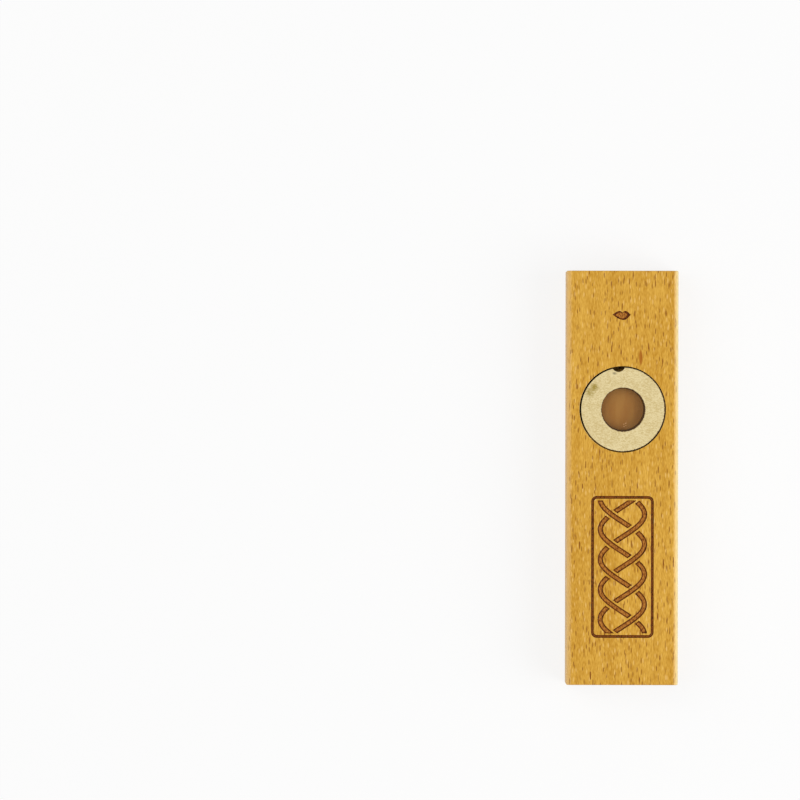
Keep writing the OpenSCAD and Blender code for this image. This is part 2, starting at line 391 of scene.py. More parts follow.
# Near black: scorch together with the painted shade of the gap round the ring
pocket_char_and_painted_shade = "#2C1404"
streak_orange = "#AC6208"


def lathe(profile, centre, steps, closed=False):
    """Points and faces of a turned shape. The profile is pairs of radius and height."""
    loops = []
    for radius, z in profile:
        turns = [2 * math.pi * n / steps for n in range(steps)]
        loops.append([(centre[0] + radius * math.cos(t), centre[1] + radius * math.sin(t), z) for t in turns])
    return skin(loops, ring=closed)


def together(name, shapes):
    """One solid from several that don't touch."""
    points, faces = [], []
    for shape_points, shape_faces in shapes:
        start = len(points)
        points += shape_points
        faces += [tuple(start + i for i in face) for face in shape_faces]
    return solid(name, points, faces)


def magnet_places(slide=0.0):
    """The middles of the three magnets, slide mm to the right."""
    return [(slide + magnet_circle * math.cos(math.radians(t)),
             seat_y + magnet_circle * math.sin(math.radians(t))) for t in magnet_turns]


def burn_depth(distance):
    """Depth of a burnt mark at a distance from its edge."""
    for (d0, z0), (d1, z1) in zip(burn_section, burn_section[1:]):
        if distance <= d1:
            return z0 + (z1 - z0) * (distance - d0) / (d1 - d0)
    return burn_section[-1][1]


def strand_point(strand, turn, side=0.0):
    """A place on a strand of the plait, in the panel: its wave at that turn, side mm off its middle."""
    angle = math.radians(turn)
    slope = plait_swing * math.cos(angle) * 2 * math.pi / plait_pitch
    lean = math.hypot(1, slope)
    along = plait_pitch * (turn / 360 - strand / 3)
    return plait_swing * math.sin(angle) + side / lean, along - side * slope / lean


def gap_to(point, strand, near_turn):
    """Distance from a place to the middle line of another strand, near a turn of that strand's wave."""
    return min(math.dist(point, strand_point(strand, near_turn + n * 1.5)) for n in range(-40, 41))


def first_turn(test, start, end):
    """The turn between start and end at which test becomes true."""
    for _ in range(24):
        middle = (start + end) / 2
        if test(middle):
            end = middle
        else:
            start = middle
    return end


def strand_patch(strand, under):
    """The cutter for half a wave of a burnt strand, from one crossing where it goes under to the next."""
    clear = strand_width / 2 + strand_gap
    half_length = panel_length / 2 - rule_width - strand_gap
    half_width = strand_width / 2
    mirror = 2 * under + 180
    inward = [d for d, _ in burn_section]
    sides = [-half_width + d for d in inward] + [0.0] + [half_width - d for d in reversed(inward)]
    lines = []
    for side in sides:
        # This line of the stroke stops clear of the strand above at both crossings, and inside the rule
        def clear_at(turn, crossing):
            return gap_to(strand_point(strand, turn, side), strand - 1, crossing - 120) >= clear

        def along_at(turn):
            return strand_point(strand, turn, side)[1]

        begin = first_turn(lambda t: clear_at(t, under), under, under + 60)
        finish = mirror - first_turn(lambda t: clear_at(mirror - t, under + 180), under, under + 60)
        if along_at(begin) < -half_length:
            begin = first_turn(lambda t: along_at(t) >= -half_length, begin, begin + 360)
        if along_at(finish) > half_length:
            finish = first_turn(lambda t: along_at(t) >= half_length, finish - 360, finish)
        if finish - begin < 8:
            return None

        # Points along it, close together at both ends where the burn slopes down
        samples = [strand_point(strand, begin + (finish - begin) * n / 60, side) for n in range(61)]
        run = [0.0]
        for a, b in zip(samples, samples[1:]):
            run.append(run[-1] + math.dist(a, b))
        stops = inward + [inward[-1] + (run[-1] - 2 * inward[-1]) * n / 18 for n in range(1, 18)]
        stops += [run[-1] - d for d in reversed(inward)]
        line = []
        for stop in stops:
            n = max(i for i in range(60) if run[i] <= stop + 1e-9)
            share = min(1.0, (stop - run[n]) / (run[n + 1] - run[n]))
            x = samples[n][0] + share * (samples[n + 1][0] - samples[n][0])
            y = samples[n][1] + share * (samples[n + 1][1] - samples[n][1])
            edge = min(stop, run[-1] - stop, side + half_width, half_width - side)
            line.append((x, panel_y + y, top_face - burn_depth(max(0.0, edge))))
        lines.append(line)

    # The lines make the floor and the sides, and a border raised above the strip closes the cutter
    rows, columns = len(lines), len(lines[0])
    points = [p for line in lines for p in line]
    faces = [(r * columns + c, (r + 1) * columns + c, (r + 1) * columns + c + 1, r * columns + c + 1)
             for r in range(rows - 1) for c in range(columns - 1)]
    border = [(0, c) for c in range(columns)] + [(r, columns - 1) for r in range(1, rows)]
    border += [(rows - 1, c) for c in range(columns - 2, -1, -1)] + [(r, 0) for r in range(rows - 2, 0, -1)]
    lid = len(points)
    for r, c in border:
        x, y, _ = lines[r][c]
        points.append((x, y, top_face + cutter_reach))
    for n, (r, c) in enumerate(border):
        m = (n + 1) % len(border)
        faces.append((r * columns + c, border[m][0] * columns + border[m][1], lid + m, lid + n))
    faces.append(tuple(range(lid, lid + len(border))))
    return points, faces


def rule_cutter():
    """The rule round the panel: a groove that follows a rectangle with rounded corners."""
    inward = [(d, z) for d, z in burn_section if d < rule_width / 2]
    section = [(0.0, -cutter_reach)] + inward + [(rule_width / 2, burn_depth(rule_width / 2))]
    section += [(rule_width - d, z) for d, z in reversed(inward)] + [(rule_width, -cutter_reach)]
    loops = []
    for inset, depth in section:
        outline = rounded_box(panel_width / 2 - rule_radius, panel_length / 2 - rule_radius,
                              rule_radius - inset, 9)
        loops.append([(x, panel_y + y, top_face - depth) for x, y in outline])
    return skin(loops, ring=True)


def lips_cutter():
    """The small pair of lips that marks the mouth end, turned a little to the right."""
    corners = (-0.5, -0.09, 0.05, 0.19, 0.5, 0.12)
    left, peak_left, dip, peak_right, right, low = (lips_width * share for share in corners)
    curves = [[] for _ in corners]
    for n in range(8):
        share = n / 8
        rise = math.sin(math.pi / 2 * share)
        fall = math.cos(math.pi / 2 * share)
        ease = (1 - math.cos(math.pi * share)) / 2
        runs = ((left, peak_left, upper_lip * rise), (peak_left, dip, upper_lip - lips_dip * ease),
                (dip, peak_right, upper_lip - lips_dip * (1 - ease)), (peak_right, right, upper_lip * fall),
                (right, low, -lower_lip * rise), (low, left, -lower_lip * fall))
        for curve, (start, end, y) in zip(curves, runs):
            curve.append((start + (end - start) * share, y))
    outline = [place for curve in curves for place in curve]

    # The mark narrows with its depth, round a middle that lies a little below its corners
    drop = 0.2
    loops = []
    for size, depth in ((1.0, -cutter_reach), (1.0, -0.02), (0.96, 0.14), (0.82, 0.22), (0.58, 0.3)):
        loops.append([(x * size - lips_shift, lips_y + (y + drop) * size - drop, top_face - depth)
                      for x, y in outline])
    return skin(loops)


def from_seat(tree, place, middle=0.0):
    """The level way to a place from the seat's upright axis, or middle mm to its right, and its length."""
    axis = add(tree, "VectorMath", {0: place, 1: (middle, seat_y, 0.0)}, operation="SUBTRACT")
    axis = add(tree, "VectorMath", {0: axis, 1: (1.0, 1.0, 0.0)}, operation="MULTIPLY")
    return axis, add(tree, "VectorMath", {0: axis}, out=1, operation="LENGTH")


upper_strip = strip_blank("upper_strip", 1)
cut(upper_strip, channel_cutter())
# The seat's corners are broken by about 0.1 mm, and the rim of its pocket is flared by 0.14 mm
seat_section = [
    (chamber_radius, 8.0), (chamber_radius, recess_floor - 0.12), (chamber_radius + 0.12, recess_floor),
    (recess_radius - 0.1, recess_floor), (recess_radius, recess_floor + 0.1),
    (recess_radius, pocket_floor - 0.1), (recess_radius + 0.1, pocket_floor),
    (pocket_radius - 0.1, pocket_floor), (pocket_radius, pocket_floor + 0.1),
    (pocket_radius, top_face - 0.12), (pocket_radius + 0.04, top_face - 0.04),
    (pocket_radius + 0.14, top_face + 0.02), (pocket_radius + 0.14, top_face + 1.0)]
cut(upper_strip, solid("seat_cutter", *lathe(seat_section, (0.0, seat_y), 128)))
hole_section = [
    (magnet_hole_radius, recess_floor - magnet_hole_depth), (magnet_hole_radius, recess_floor - 0.08),
    (magnet_hole_radius + 0.1, recess_floor + 0.02), (magnet_hole_radius + 0.1, recess_floor + 0.3)]
cut(upper_strip, together("magnet_cutters", [lathe(hole_section, p, 40) for p in magnet_places()]))
patches = [strand_patch(strand, 150 + 180 * n) for strand in range(3) for n in range(-6, 7)]
marks = [patch for patch in patches if patch] + [rule_cutter(), lips_cutter()]
cut(upper_strip, together("mark_cutters", marks))

upper = beech("oiled_beech_upper", (-9.0, 0.0, -62.0), (20.0, 60.0, 5.0))
tree = upper["tree"]
spot = add(tree, "SeparateXYZ", {0: upper["place"]})
across, along, height = (spot.node.outputs[n] for n in range(3))

# One gum streak, 0.9 mm wide and 4 mm long, a warm orange line in the wood near the mouth end
stain = add(tree, "VectorMath", {0: upper["place"], 1: streak_place}, operation="SUBTRACT")
stain = add(tree, "VectorMath", {0: stain, 1: (1 / 0.6, 1 / 2.5, 1 / 4)}, operation="MULTIPLY")
stain = add(tree, "VectorMath", {0: stain}, out=1, operation="LENGTH")
stain = add(tree, "MapRange", {0: stain, 1: 1.1, 2: 0.5, 4: 0.9}, interpolation_type="SMOOTHSTEP")
colour = add(tree, "Mix", {0: stain, 6: upper["colour"], 7: linear(streak_orange)}, out=2, data_type="RGBA")

# Laser burn: dark brown with black spots on the steep sides of each stroke, and a paler toasted floor between
# them. It covers what lies under the top face, clear of the seat and the ends.
depth = add(tree, "Math", {0: top_face, 1: height}, operation="SUBTRACT")
soot = add(tree, "Mapping", {"Vector": upper["place"], "Scale": (1 / 0.35, 1 / 0.8, 1 / 0.35)})
soot = add(tree, "TexNoise", {"Vector": soot, "Scale": 1.0, "Detail": 3.0})
toast = add(tree, "MapRange", {0: soot, 1: 0.36, 2: 0.6})
toast = add(tree, "Mix", {0: toast, 6: linear(char_floor), 7: linear(char_pale)}, out=2, data_type="RGBA")
bottom = add(tree, "MapRange", {0: depth, 1: 0.265, 2: 0.299}, interpolation_type="SMOOTHSTEP")
spots = add(tree, "MapRange", {0: soot, 1: 0.36, 2: 0.5})
edge = add(tree, "Mix", {0: spots, 6: linear(char_black), 7: linear(char_edge)}, out=2, data_type="RGBA")
burn = add(tree, "Mix", {0: bottom, 6: edge, 7: toast}, out=2, data_type="RGBA")
below = add(tree, "Math", {0: depth, 1: 0.012}, operation="GREATER_THAN")
shallow = add(tree, "Math", {0: depth, 1: 0.6}, operation="LESS_THAN")
marked = add(tree, "Math", {0: across}, operation="ABSOLUTE")
marked = add(tree, "Math", {0: marked, 1: panel_width / 2 + 0.5}, operation="LESS_THAN")
seat_far = add(tree, "Math", {0: along, 1: seat_y}, operation="SUBTRACT")
seat_far = add(tree, "Math", {0: seat_far}, operation="ABSOLUTE")
seat_far = add(tree, "Math", {0: seat_far, 1: pocket_radius + 2}, operation="GREATER_THAN")
off_ends = add(tree, "Math", {0: along}, operation="ABSOLUTE")
off_ends = add(tree, "Math", {0: off_ends, 1: body_length / 2 - 6}, operation="LESS_THAN")
for limit in (seat_far, off_ends, below, shallow):
    marked = add(tree, "Math", {0: marked, 1: limit}, operation="MULTIPLY")
colour = add(tree, "Mix", {0: marked, 6: colour, 7: burn}, out=2, data_type="RGBA")

# The wall and the step of the pocket, scorched by the cutter, and painted near black as the shade in the
# deep gap round the ring and in its notch. Painted lighter on the inner step where light reaches, and least
# dark on the tail side a little to the left
axis, radius = from_seat(tree, upper["place"])
scorch_and_painted_shade = add(tree, "MapRange", {0: radius, 1: recess_radius, 2: recess_radius + 0.8, 3: 0.25, 4: 1.0})
outer = add(tree, "Math", {0: radius, 1: pocket_radius + 0.06}, operation="LESS_THAN")
low = add(tree, "Math", {0: depth, 1: 0.004}, operation="GREATER_THAN")
high = add(tree, "Math", {0: height, 1: pocket_floor - 0.05}, operation="GREATER_THAN")
patchy = add(tree, "MapRange", {0: soot, 1: 0.3, 2: 0.6, 3: 0.7, 4: 1.0})
spared = add(tree, "VectorMath", {0: axis, 1: (-0.035, -0.075, 0.0)}, out=1, operation="DOT_PRODUCT")
spared = add(tree, "MapRange", {0: spared, 1: 0.6, 2: 0.9, 3: 1.0, 4: 0.1})
for limit in (outer, low, high, patchy, spared):
    scorch_and_painted_shade = add(tree, "Math", {0: scorch_and_painted_shade, 1: limit}, operation="MULTIPLY")
colour = add(tree, "Mix", {0: scorch_and_painted_shade, 6: colour, 7: linear(pocket_char_and_painted_shade)}, out=2, data_type="RGBA")
upper["colour"] = colour

rough_char = add(tree, "Math", {0: marked, 1: scorch_and_painted_shade}, operation="MAXIMUM")
upper["gloss"] = add(tree, "Math", {0: rough_char, 1: 0.35, 2: upper["gloss"]}, operation="MULTIPLY_ADD")
crust = add(tree, "Math", {0: rough_char, 1: soot}, operation="MULTIPLY")
upper["relief"] = add(tree, "Math", {0: crust, 1: 2.0, 2: upper["relief"]}, operation="MULTIPLY_ADD")
dress(upper_strip, oiled(upper), "kazoo_body", "body_top")


# Three disc magnets glued into the floor of the recess, 3 by 1 mm, nickel plated. They pull on the three in
# the ring, so the ring holds the membrane down without a fastener.

magnet_radius = 1.5
magnet_height = 1.0
magnet_edge = 0.12
nickel = "#CFCBC2"
nickel_dull = "#B4AFA4"


def magnet_disc(name, centre, z):
    """A magnet with the rounded edge that tumbling and plating give it."""
    arc = [math.pi / 2 * n / 4 for n in range(5)]
    section = [(magnet_radius - magnet_edge + magnet_edge * math.cos(a), magnet_height - magnet_edge
                + magnet_edge * math.sin(a)) for a in arc]
    section = [(r, magnet_height - h) for r, h in reversed(section)] + section
    return solid(name, *lathe([(r, z + h) for r, h in section], centre, 48))


# Nickel plate on a sintered magnet, barrel plated. To the eye: a warm grey mirror, softened by fine tumbling
# marks and by duller specks.
plate, tree, place = new_material("nickel_plate_tumbled")
scuffs = add(tree, "TexNoise", {"Vector": place, "Scale": 1 / 0.35, "Detail": 4.0, "Roughness": 0.7})
specks = add(tree, "TexVoronoi", {"Vector": place, "Scale": 1 / 0.25, "Randomness": 1.0})
specks = add(tree, "MapRange", {0: specks, 1: 0.28, 2: 0.1}, interpolation_type="SMOOTHSTEP")
dull = add(tree, "MapRange", {0: scuffs, 1: 0.4, 2: 0.65})
colour = add(tree, "Mix", {0: dull, 6: linear(nickel), 7: linear(nickel_dull)}, out=2, data_type="RGBA")
gloss = add(tree, "MapRange", {0: scuffs, 1: 0.3, 2: 0.7, 3: 0.16, 4: 0.34})
gloss = add(tree, "Math", {0: specks, 1: 0.2, 2: gloss}, operation="MULTIPLY_ADD")
bump = add(tree, "Bump", {"Height": scuffs, "Strength": 0.4, "Distance": 0.00001})
surface(tree, add(tree, "BsdfPrincipled", {
    "Base Color": colour, "Metallic": 1.0, "Roughness": gloss, "Normal": bump}))

for number, centre in enumerate(magnet_places(), 1):
    disc = magnet_disc(f"seat_magnet_disc_{number}", centre, recess_floor - magnet_hole_depth)
    dress(disc, plate, "kazoo_body", f"seat_magnet_{number}")


# Membrane: a very thin translucent film, stretched and glued under a pressed card frame. It lies loose in the
# recess under the ring, and buzzes when the air in the chamber moves it. Its frame is plain cream card.

film_radius = 10.1
film_low = 11.8
film_high = 11.9
film_thickness = 0.03
film_steps = 96
film_rings = 34
dimple_x = 1.0
dimple_y = -4.3
ring_slide = 0.12
frame_outer = 10.3
frame_inner = 8.2
frame_top = 12.4
frame_edge = 0.12
film_tan = "#AD7030"
film_milk = "#BB8540"
film_painted_glint = "#F4BE84"
film_painted_shade = "#54380C"
card_cream = "#EADFC2"
card_fibre = "#D9C9A3"


def film_height(x, y):
    """Middle height of the film: flat under its frame, with one soft crease and faint ripples inside it."""
    reach = math.hypot(x, y)
    free = max(0.0, min(1.0, (7.6 - reach) / 1.6))
    free = free * free * (3 - 2 * free)
    crease = math.exp(-((x - 0.9 - 0.06 * y) / 0.55) ** 2) * 0.012
    ripple = 0.01 * math.sin(0.9 * x + 0.35 * y) + 0.007 * math.sin(1.7 * y - 0.6 * x)
    dimple = -0.05 * math.exp(-((x - dimple_x) ** 2 + (y - dimple_y) ** 2) / 0.8)
    return (film_low + film_high) / 2 + free * (crease + ripple + dimple - 0.02)


def rounded_top(outer, inner, top, edge):
    """Section of a ring's upper side, from its outer wall to its inner one, with both edges rounded."""
    arc = [math.pi / 2 * n / 4 for n in range(5)]
    bends = [(edge * (1 - math.cos(a)), top - edge * (1 - math.sin(a))) for a in arc]
    return [(outer - inset, z) for inset, z in bends] + [(inner + inset, z) for inset, z in reversed(bends)]


film_radii = [film_radius * (n / film_rings) for n in range(1, film_rings + 1)]
film_points, film_faces = [], []
for side in (1, -1):
    start = len(film_points)
    offset = side * film_thickness / 2
    film_points.append((0.0, seat_y, film_height(0.0, 0.0) + offset))
    for radius in film_radii:
        for n in range(film_steps):
            turn = 2 * math.pi * n / film_steps
            x, y = radius * math.cos(turn), radius * math.sin(turn)
            film_points.append((x, seat_y + y, film_height(x, y) + offset))
    for n in range(film_steps):
        m = (n + 1) % film_steps
        film_faces.append((start, start + 1 + n, start + 1 + m))
        for row in range(film_rings - 1):
            here = start + 1 + row * film_steps
            there = here + film_steps
            film_faces.append((here + n, there + n, there + m, here + m))
rim = 1 + (film_rings - 1) * film_steps
sheet_points = len(film_points) // 2
for n in range(film_steps):
    m = (n + 1) % film_steps
    film_faces.append((rim + n, rim + m, sheet_points + rim + m, sheet_points + rim + n))
film = solid("film_sheet", film_points, film_faces)

# Cast film, some 0.02 mm thick and glossy. To the eye: a milky tan skin that lets the dim chamber show
# through, with a soft crease, a small painted glint and a painted shade round the foot of the ring's hole.
milky_film, tree, place = new_material("cast_film_milky")
cloud = add(tree, "Mapping", {"Vector": place, "Scale": (1 / 2.2, 1 / 9, 1.0)})
cloud = add(tree, "TexNoise", {"Vector": cloud, "Scale": 1.0, "Detail": 3.0})
grit = add(tree, "TexNoise", {"Vector": place, "Scale": 1 / 0.4, "Detail": 3.0, "Roughness": 0.6})
milk = add(tree, "MapRange", {0: cloud, 1: 0.2, 2: 0.8})
milk = add(tree, "Math", {0: grit, 1: 0.35, 2: milk}, operation="MULTIPLY_ADD")
colour = add(tree, "Mix", {0: milk, 6: linear(film_tan), 7: linear(film_milk)}, out=2, data_type="RGBA")
veil = add(tree, "MapRange", {0: milk, 2: 1.3, 3: 0.75, 4: 0.77})

# A small painted glint: a few pale specks where the film dips, near the tail side of the window
painted_glint = add(tree, "VectorMath", {0: place, 1: (dimple_x, seat_y + dimple_y, film_high)}, out=1,
           operation="DISTANCE")
painted_glint = add(tree, "MapRange", {0: painted_glint, 1: 1.3, 2: 0.3}, interpolation_type="SMOOTHSTEP")
glint_speck = add(tree, "TexVoronoi", {"Vector": place, "Scale": 1 / 0.5, "Randomness": 1.0})
glint_speck = add(tree, "MapRange", {0: glint_speck, 1: 0.45, 2: 0.2}, interpolation_type="SMOOTHSTEP")
painted_glint = add(tree, "Math", {0: painted_glint, 1: glint_speck}, operation="MULTIPLY")
colour = add(tree, "Mix", {0: painted_glint, 6: colour, 7: linear(film_painted_glint)}, out=2, data_type="RGBA")

# Painted shade on the film round the foot of the ring's hole, where its wall shades it, wider toward the tail
# and the right
axis, radius = from_seat(tree, place, ring_slide)
lee = add(tree, "VectorMath", {0: axis, 1: (0.01, -0.012, 0.0)}, out=1, operation="DOT_PRODUCT")
radius = add(tree, "Math", {0: radius, 1: lee}, operation="ADD")
radius = add(tree, "Math", {0: grit, 1: 0.3, 2: radius}, operation="MULTIPLY_ADD")
# The painted shade band, just inside the foot of the hole's wall
soot = add(tree, "MapRange", {0: radius, 1: 5.8, 2: 6.04, 4: 0.85}, interpolation_type="SMOOTHSTEP")
clean = add(tree, "MapRange", {0: radius, 1: 6.7, 2: 6.25}, interpolation_type="SMOOTHSTEP")
soot = add(tree, "Math", {0: soot, 1: clean}, operation="MULTIPLY")
colour = add(tree, "Mix", {0: soot, 6: colour, 7: linear(film_painted_shade)}, out=2, data_type="RGBA")
bump = add(tree, "Bump", {"Height": grit, "Strength": 0.3, "Distance": 0.00001})
surface(tree, add(tree, "BsdfPrincipled", {
    "Base Color": colour, "Roughness": 0.22, "IOR": 1.49, "Alpha": veil, "Normal": bump}))
dress(film, milky_film, "membrane", "membrane_film")

frame_section = [(frame_inner, film_high + 0.05), (frame_inner + 0.05, film_high),
                 (frame_outer - 0.05, film_high), (frame_outer, film_high + 0.05)]
frame_section += rounded_top(frame_outer, frame_inner, frame_top, frame_edge)
card = solid("card_frame", *lathe(frame_section, (0.0, seat_y), 96, closed=True))

# Pressed card, die cut. To the eye: matt cream with short felted fibres and a slightly furred edge.
cream, tree, place = new_material("pressed_card_cream")
felt = add(tree, "TexNoise", {"Vector": place, "Scale": 1 / 0.5, "Detail": 5.0, "Roughness": 0.65,
                              "Distortion": 1.2})
blot = add(tree, "TexNoise", {"Vector": place, "Scale": 1 / 3, "Detail": 2.0})
tone = add(tree, "Math", {0: blot, 1: 0.5, 2: felt}, operation="MULTIPLY_ADD")
tone = add(tree, "MapRange", {0: tone, 1: 0.55, 2: 1.0})
colour = add(tree, "Mix", {0: tone, 6: linear(card_cream), 7: linear(card_fibre)}, out=2, data_type="RGBA")
bump = add(tree, "Bump", {"Height": felt, "Strength": 0.6, "Distance": 0.00005})
gloss = add(tree, "MapRange", {0: felt, 3: 0.75, 4: 0.95})
surface(tree, add(tree, "BsdfPrincipled", {"Base Color": colour, "Roughness": gloss, "Normal": bump}))
dress(card, cream, "membrane", "membrane_frame")


# Retaining ring: bare three-ply basswood, laser cut, so its edges are charred and its faces pale. It drops
# into the pocket on its magnets, and a fingernail in the notch at its edge lifts it out.

ring_outer = 11.65
ring_inner = 6.0
ring_low = 12.4
ring_high = 14.9
ring_edge = 0.1
notch_width = 3.3
notch_depth = 1.1
notch_turn = 6
basswood_pale = "#EAD8A4"
basswood_fibre = "#D2BB80"
cut_char = "#351C06"
kerf_brown = "#643C10"
oil_patch = "#A68E3C"
thumb_grey = "#8A8060"

ring_centre = (ring_slide, seat_y)
top_half = rounded_top(ring_outer, ring_inner, ring_high, ring_edge)
middle = (ring_low + ring_high) / 2
bottom_half = [(r, 2 * middle - z) for r, z in reversed(top_half)]
ring = solid("wooden_ring", *lathe(bottom_half + top_half, ring_centre, 160, closed=True))
notch_radius = (notch_width ** 2 / 4 + notch_depth ** 2) / (2 * notch_depth)
notch_reach = ring_outer - notch_depth + notch_radius
notch_place = (ring_slide - notch_reach * math.sin(math.radians(notch_turn)),
               seat_y + notch_reach * math.cos(math.radians(notch_turn)))
notch_section = [(notch_radius + 0.1, ring_low - 0.5), (notch_radius + 0.1, ring_low - 0.02),
                 (notch_radius, ring_low + 0.1), (notch_radius, ring_high - 0.1),
                 (notch_radius + 0.1, ring_high + 0.02), (notch_radius + 0.1, ring_high + 0.5)]
cut(ring, solid("notch_cutter", *lathe(notch_section, notch_place, 64)))
hole_section = [(magnet_hole_radius + 0.1, ring_low - 0.4), (magnet_hole_radius + 0.1, ring_low - 0.02),
                (magnet_hole_radius, ring_low + 0.08), (magnet_hole_radius, ring_low + magnet_hole_depth)]
cut(ring, together("ring_magnet_cutters", [lathe(hole_section, p, 40) for p in magnet_places(ring_slide)]))

# Bare basswood ply, laser cut. To the eye: chalky straw with hair-fine grain across the ring, brown edges
# where the laser went, and two handling marks near the notch.
pale_ply, tree, place = new_material("basswood_ply_laser_cut")

# Face grain runs across the kazoo, 0.28 mm apart and 0.5 mm long, with a slow waver
waver = add(tree, "TexNoise", {"Vector": place, "Scale": 1 / 6, "Detail": 1.0}, out=1)
waver = add(tree, "VectorMath", {0: waver, 1: (0.0, 0.4, 0.0)}, operation="MULTIPLY")
face_grain = add(tree, "VectorMath", {0: place, 1: waver}, operation="ADD")
hair = add(tree, "Mapping", {"Vector": face_grain, "Scale": (1 / 0.5, 1 / 0.28, 1 / 0.3)})
hair = add(tree, "TexNoise", {"Vector": hair, "Scale": 1.0, "Detail": 2.0, "Roughness": 0.6})
fleck = add(tree, "Mapping", {"Vector": face_grain, "Scale": (1 / 0.9, 1 / 0.5, 1 / 0.5)})
fleck = add(tree, "TexVoronoi", {"Vector": fleck, "Scale": 1.0, "Randomness": 1.0})
fleck = add(tree, "MapRange", {0: fleck, 1: 0.25, 2: 0.08, 4: 0.25}, interpolation_type="SMOOTHSTEP")
cloud = add(tree, "TexNoise", {"Vector": place, "Scale": 1 / 3, "Detail": 2.0})
tone = add(tree, "MapRange", {0: hair, 1: 0.3, 2: 0.7, 3: -0.85, 4: 0.6})
tone = add(tree, "Math", {0: cloud, 1: 1.2, 2: tone}, operation="MULTIPLY_ADD")
tone = add(tree, "Math", {0: tone, 1: fleck}, operation="ADD")
colour = add(tree, "Mix", {0: tone, 6: linear(basswood_pale), 7: linear(basswood_fibre)}, out=2,
             data_type="RGBA")

# Handling marks: an olive rub to the left of the notch, in two touches, and a grey dot close to the notch
for touch, radius, share in (((-7.7, 6.2), 1.6, 0.7), ((-9.0, 4.7), 2.0, 0.55)):
    rub = add(tree, "VectorMath", {0: place, 1: (touch[0], seat_y + touch[1], ring_high)},
              out=1, operation="DISTANCE")
    rub = add(tree, "MapRange", {0: rub, 1: radius, 2: 0.2, 4: share}, interpolation_type="SMOOTHSTEP")
    rub = add(tree, "Math", {0: rub, 1: tone, 2: rub}, operation="MULTIPLY_ADD")
    colour = add(tree, "Mix", {0: rub, 6: colour, 7: linear(oil_patch)}, out=2, data_type="RGBA")
dot = add(tree, "Mapping", {"Vector": place, "Location": (2.3, -seat_y - 10.0, 0.0)})
dot = add(tree, "VectorMath", {0: dot, 1: (1 / 0.8, 1 / 0.5, 0.0)}, operation="MULTIPLY")
dot = add(tree, "VectorMath", {0: dot}, out=1, operation="LENGTH")
dot = add(tree, "MapRange", {0: dot, 1: 1.1, 2: 0.1, 4: 0.8}, interpolation_type="SMOOTHSTEP")
colour = add(tree, "Mix", {0: dot, 6: colour, 7: linear(thumb_grey)}, out=2, data_type="RGBA")

# Three plies of 0.83 mm show on the cut wall under the char
height = add(tree, "SeparateXYZ", {0: place}, out=2)
ply = add(tree, "Math", {0: height, 1: middle, 2: 0.42}, operation="COMPARE")
wall = add(tree, "TexCoord", out=1)
wall = add(tree, "SeparateXYZ", {0: wall}, out=2)
wall = add(tree, "Math", {0: wall}, operation="ABSOLUTE")
wall = add(tree, "MapRange", {0: wall, 1: 0.92, 2: 0.6}, interpolation_type="SMOOTHSTEP")
kerf = add(tree, "Mapping", {"Vector": place, "Scale": (1 / 0.22, 1 / 0.22, 1 / 3)})
kerf = add(tree, "TexNoise", {"Vector": kerf, "Scale": 1.0, "Detail": 2.0})
char = add(tree, "MapRange", {0: kerf, 1: 0.3, 2: 0.7})
core = add(tree, "Math", {0: ply, 1: 0.35, 2: char}, operation="MULTIPLY_ADD")
core = add(tree, "Mix", {0: core, 6: linear(cut_char), 7: linear(kerf_brown)}, out=2, data_type="RGBA")

# The char runs about 0.15 mm onto the faces, unevenly: more on the right of the rim. Round the hole it is
# widened toward the tail and the right as painted shade, on the side of the hole's wall that lies in shade
axis, radius = from_seat(tree, place, ring_slide)
ragged = add(tree, "TexNoise", {"Vector": place, "Scale": 1 / 0.5, "Detail": 3.0, "Roughness": 0.7})
ragged = add(tree, "MapRange", {0: ragged, 1: 0.3, 2: 0.7, 3: -0.12, 4: 0.12})
worn = add(tree, "Math", {0: radius, 1: ragged}, operation="ADD")
lee = add(tree, "VectorMath", {0: axis, 1: (0.013, -0.003, 0.0)}, out=1, operation="DOT_PRODUCT")
at_rim = add(tree, "Math", {0: worn, 1: lee}, operation="ADD")
at_rim = add(tree, "MapRange", {0: at_rim, 1: ring_outer - 0.1, 2: ring_outer})
# Painted shade: the char round the hole widens toward the tail and the right
lee = add(tree, "VectorMath", {0: axis, 1: (0.008, -0.01, 0.0)}, out=1, operation="DOT_PRODUCT")
at_hole = add(tree, "Math", {0: worn, 1: lee}, operation="SUBTRACT")
at_hole = add(tree, "MapRange", {0: at_hole, 1: ring_inner + 0.22, 2: ring_inner + 0.08})
rims = add(tree, "Math", {0: at_rim, 1: at_hole}, operation="MAXIMUM")
burnt = add(tree, "Math", {0: wall, 1: rims}, operation="MAXIMUM")
colour = add(tree, "Mix", {0: burnt, 6: colour, 7: core}, out=2, data_type="RGBA")
relief = add(tree, "Math", {0: wall, 1: kerf}, operation="MULTIPLY")
relief = add(tree, "Math", {0: relief, 1: 2.0, 2: hair}, operation="MULTIPLY_ADD")
bump = add(tree, "Bump", {"Height": relief, "Strength": 0.5, "Distance": 0.00002})
gloss = add(tree, "MapRange", {0: hair, 3: 0.6, 4: 0.8})
surface(tree, add(tree, "BsdfPrincipled", {
    "Base Color": colour, "Roughness": gloss, "IOR": 1.45, "Normal": bump}))
dress(ring, pale_ply, "ring", "retaining_ring")


# Three more of the same magnets, nickel plated, pressed and glued into holes in the underside of the ring.
# Each sits a little deeper than flush, so that the wood lies on the card and not the metal.

magnet_sink = 0.05

for number, centre in enumerate(magnet_places(ring_slide), 1):
    disc = magnet_disc(f"ring_magnet_disc_{number}", centre, ring_low + magnet_sink)
    dress(disc, plate, "ring", f"ring_magnet_{number}")


# Table and light: a white sweep of matt card, a broad lamp above left, a second further down on the right
# that lights the rounded right edge, and a camera straight above. Lengths are in metres here.

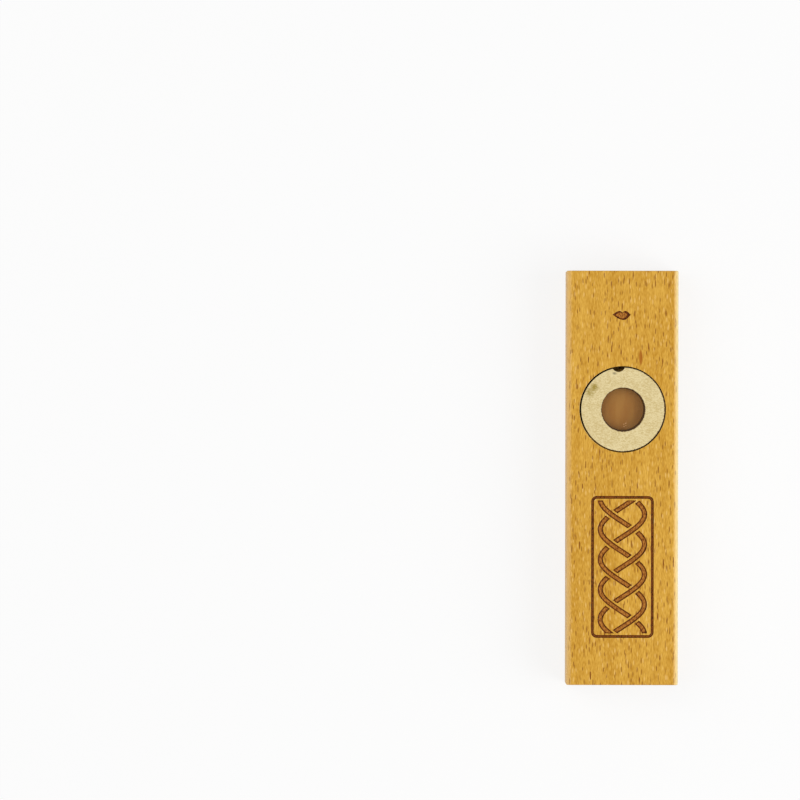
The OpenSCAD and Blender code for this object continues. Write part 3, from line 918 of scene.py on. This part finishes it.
sweep_half = 3
sweep_drop = 0.0001
card_white = "#F5F5F5"
card_shade = "#F2F2F1"
lift_to_white = 0.82
room_light = 0.33
mirrored_light = 0.45
picture_width = 0.2220
camera_distance = 1.5
view_x = -0.0618
view_y = 0.0215
view_turn = 0.11
sensor_width = 36

sweep = bpy.data.meshes.new("white_sweep")
corners = [(x * sweep_half, y * sweep_half, -sweep_drop) for x, y in ((-1, -1), (1, -1), (1, 1), (-1, 1))]
sweep.from_pydata(corners, [], [(0, 1, 2, 3)])
table = bpy.data.objects.new("white_sweep", sweep)
bpy.context.scene.collection.objects.link(table)

# Matt white card. The camera and mirrors see it lifted towards white, and it keeps the object's shadow.
white_card, tree, place = new_material("matt_white_card")
mottle = add(tree, "TexNoise", {"Vector": place, "Scale": 1 / 40, "Detail": 3.0})
colour = add(tree, "Mix", {0: mottle, 6: linear(card_shade), 7: linear(card_white)}, out=2, data_type="RGBA")
matt = add(tree, "BsdfDiffuse", {"Color": colour})
glow = add(tree, "Emission", {"Color": (1.0, 1.0, 1.0, 1.0), "Strength": 1.0})
path = add(tree, "LightPath")
seen = add(tree, "Math", {0: path, 1: path.node.outputs["Is Glossy Ray"]}, operation="MAXIMUM")
seen = add(tree, "Math", {0: seen, 1: path.node.outputs["Is Transmission Ray"]}, operation="MAXIMUM")
lift = add(tree, "Math", {0: seen, 1: lift_to_white}, operation="MULTIPLY")
surface(tree, add(tree, "MixShader", {0: lift, 1: matt, 2: glow}))
sweep.materials.append(white_card)

world = bpy.data.worlds.new("studio")
bpy.context.scene.world = world
world.use_nodes = True
tree = world.node_tree
tree.nodes.clear()
path = add(tree, "LightPath")
room = add(tree, "Background", {"Color": (1.0, 1.0, 1.0, 1.0), "Strength": room_light})
mirrored = add(tree, "Background", {"Color": (1.0, 1.0, 1.0, 1.0), "Strength": mirrored_light})
backdrop = add(tree, "Background", {"Color": (1.0, 1.0, 1.0, 1.0), "Strength": 1.0})
sky = add(tree, "MixShader", {0: path.node.outputs["Is Glossy Ray"], 1: room, 2: mirrored})
sky = add(tree, "MixShader", {0: path, 1: sky, 2: backdrop})
tree.links.new(sky, tree.nodes.new("ShaderNodeOutputWorld").inputs["Surface"])


def soft_lamp(name, place, width, watts):
    """A square lamp that faces the kazoo."""
    lamp = bpy.data.lights.new(name, "AREA")
    lamp.shape = "SQUARE"
    lamp.size = width
    lamp.energy = watts
    holder = bpy.data.objects.new(name, lamp)
    holder.location = place
    holder.rotation_euler = (-Vector(place)).to_track_quat("-Z", "Y").to_euler()
    bpy.context.scene.collection.objects.link(holder)


soft_lamp("lamp_above_left", (-0.7, 0.2, 1.05), 1.1, 6.9)
soft_lamp("lamp_right", (0.85, -0.25, 0.75), 0.9, 8.8)

camera = bpy.data.cameras.new("camera")
camera.sensor_width = sensor_width
camera.lens = sensor_width * camera_distance / picture_width
camera.clip_start = 0.05
holder = bpy.data.objects.new("camera", camera)
holder.location = (view_x, view_y, top_face / 1000 + camera_distance)
holder.rotation_euler = (0.0, 0.0, math.radians(view_turn))
bpy.context.scene.collection.objects.link(holder)
bpy.context.scene.camera = holder
bpy.context.scene.view_settings.view_transform = "Standard"
